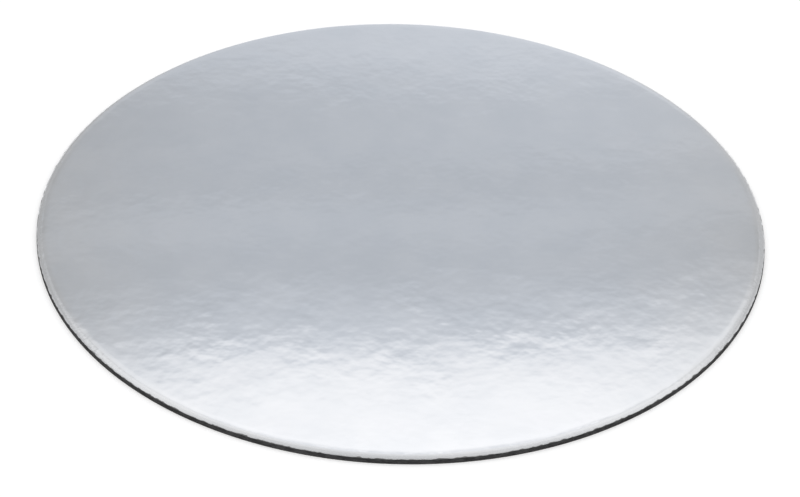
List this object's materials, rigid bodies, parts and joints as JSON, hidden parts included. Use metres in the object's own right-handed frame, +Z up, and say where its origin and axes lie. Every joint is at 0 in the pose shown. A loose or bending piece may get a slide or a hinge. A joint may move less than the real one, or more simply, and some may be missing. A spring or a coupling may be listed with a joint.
{
  "type": "cake board",
  "caption": "Round flat board faced with silver foil on a stiff grey board, with a rolled shoulder and a dark die-cut edge, for standing a cake on.",
  "frame": {"origin": "centre of the underside, on the surface that the board rests on", "axes": "+Z up along the disc's axis, out of the foil face; X and Y lie in the board and are alike"},
  "size_m": [0.254, 0.254, 0.0025],
  "materials": {
    "silver_foil": "bright foil laminate with faint orange-peel from the board under it",
    "cut_board": "raw die-cut edge of dark grey board, pressed plies showing",
    "underside_paper": "matt lining paper"
  },
  "bodies": {
    "root": {"cake_board": "silver_foil"}
  },
  "joints": []
}
